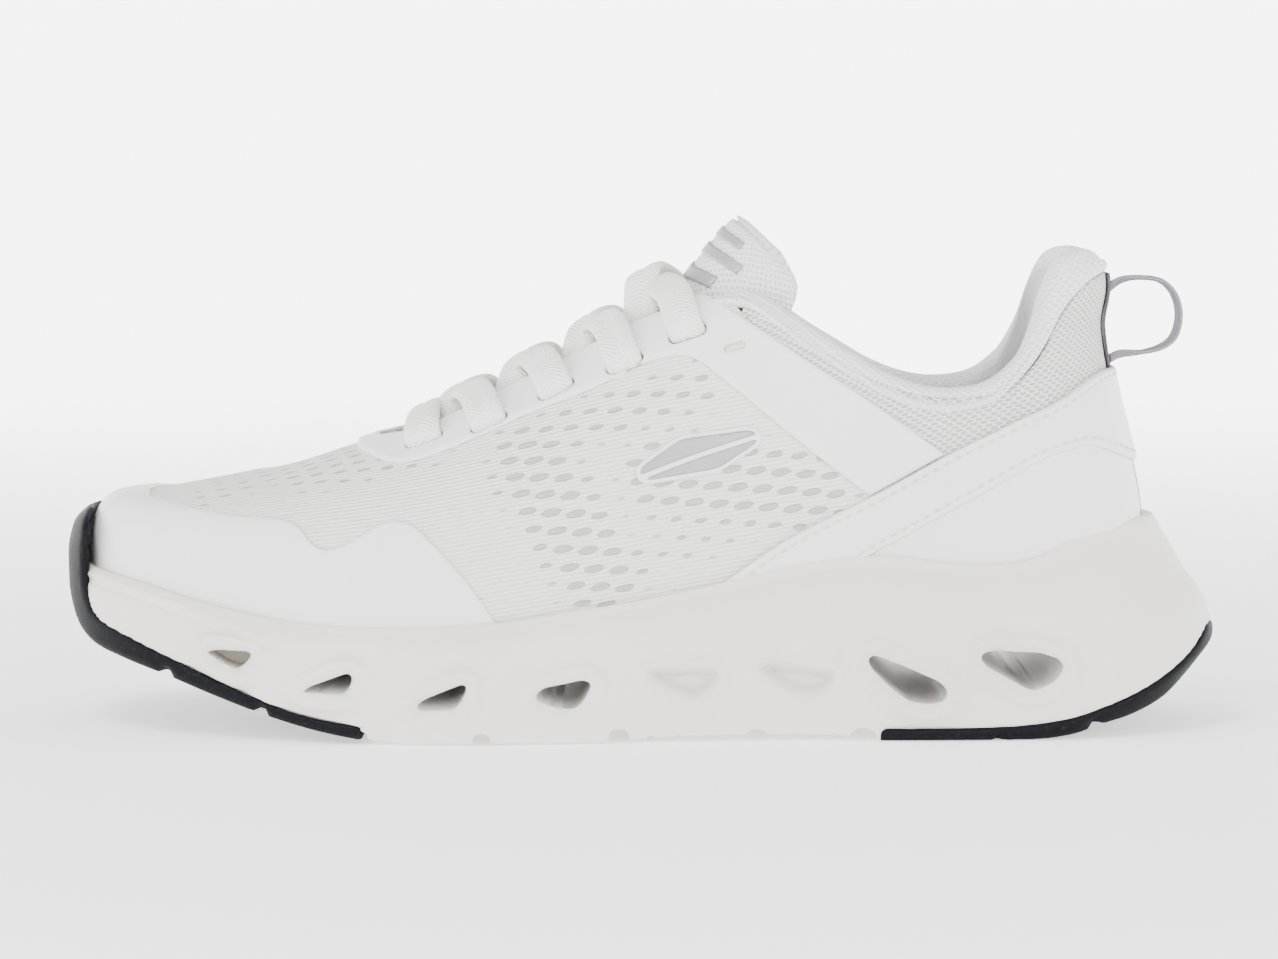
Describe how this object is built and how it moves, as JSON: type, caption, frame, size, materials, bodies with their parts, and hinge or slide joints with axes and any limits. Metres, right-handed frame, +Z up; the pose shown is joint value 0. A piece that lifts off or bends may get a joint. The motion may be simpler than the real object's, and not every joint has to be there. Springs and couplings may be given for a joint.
{
  "type": "running shoe",
  "caption": "Left lace-up running shoe with a knit upper, padded collar and tongue, heel pull loop and a thick sculpted midsole with side tunnels and rubber pads.",
  "frame": {"origin": "centre of the whole shoe's box in plan, on the ground under the tread", "axes": "+X from toe to heel, +Y towards the inner (medial) side, +Z up"},
  "size_m": [0.2964, 0.1078, 0.1313],
  "materials": {
    "midsole_foam": "moulded matt EVA foam, slightly warm white",
    "outsole_rubber": "matt black carbon rubber",
    "strobel_felt": "non-woven board",
    "sockliner_cloth": "knit cloth on moulded foam",
    "stiffener": "thermoformed sheet",
    "upper_knit": "engineered ribbed mesh with oval openings",
    "quarter_knit": "coarse diagonal spacer knit",
    "lining_cloth": "brushed lining cloth",
    "collar_cloth": "open spacer mesh over padding",
    "padding_foam": "open-cell foam",
    "overlay_film": "smooth matt fused film",
    "overlay_leather": "smooth white synthetic leather, fine grain",
    "back_tape": "dark grey woven tape",
    "silver_film": "satin silver transfer film",
    "tongue_mesh": "fine honeycomb mesh over padding",
    "lace_weave": "flat woven polyester lace",
    "aglet_plastic": "crimped clear-white plastic",
    "webbing": "mid grey woven webbing"
  },
  "bodies": {
    "shoe": {"midsole": "midsole_foam", "toe_outsole": "outsole_rubber", "heel_outsole": "outsole_rubber", "strobel_board": "strobel_felt", "heel_counter": "stiffener", "toe_puff": "stiffener", "vamp_mesh": "upper_knit", "collar_mesh": "quarter_knit", "vamp_lining": "lining_cloth", "collar_lining": "collar_cloth", "collar_foam": "padding_foam", "toe_overlay": "overlay_film", "eyestay_overlay": "overlay_film", "heel_band": "overlay_leather", "heel_cover_lateral": "overlay_leather", "heel_cover_medial": "overlay_leather", "back_tape": "back_tape", "side_emblem": "silver_film", "lace": "lace_weave", "aglet_lateral": "aglet_plastic", "aglet_medial": "aglet_plastic"},
    "tongue": {"tongue_face": "tongue_mesh", "tongue_foam": "padding_foam", "tongue_lining": "lining_cloth", "tongue_badge": "silver_film"},
    "insole": {"sockliner": "sockliner_cloth"},
    "loop": {"pull_loop": "webbing"}
  },
  "joints": [
    {"name": "tongue_tilt", "type": "hinge", "parent": "shoe", "child": "tongue", "pos_m": [-0.0662, 0, 0.062], "axis": [0, 1, 0], "range_deg": [0, 8]},
    {"name": "sockliner_lift", "type": "hinge", "parent": "shoe", "child": "insole", "pos_m": [-0.135, 0, 0.033], "axis": [0, 1, 0], "range_deg": [-3, 0]},
    {"name": "pull_loop_swing", "type": "hinge", "parent": "shoe", "child": "loop", "pos_m": [0.1265, -0.002, 0.102], "axis": [-0.0718, 0, 0.9974], "range_deg": [-45, 45], "stiffness_Nm_per_rad": 0.0002}
  ]
}
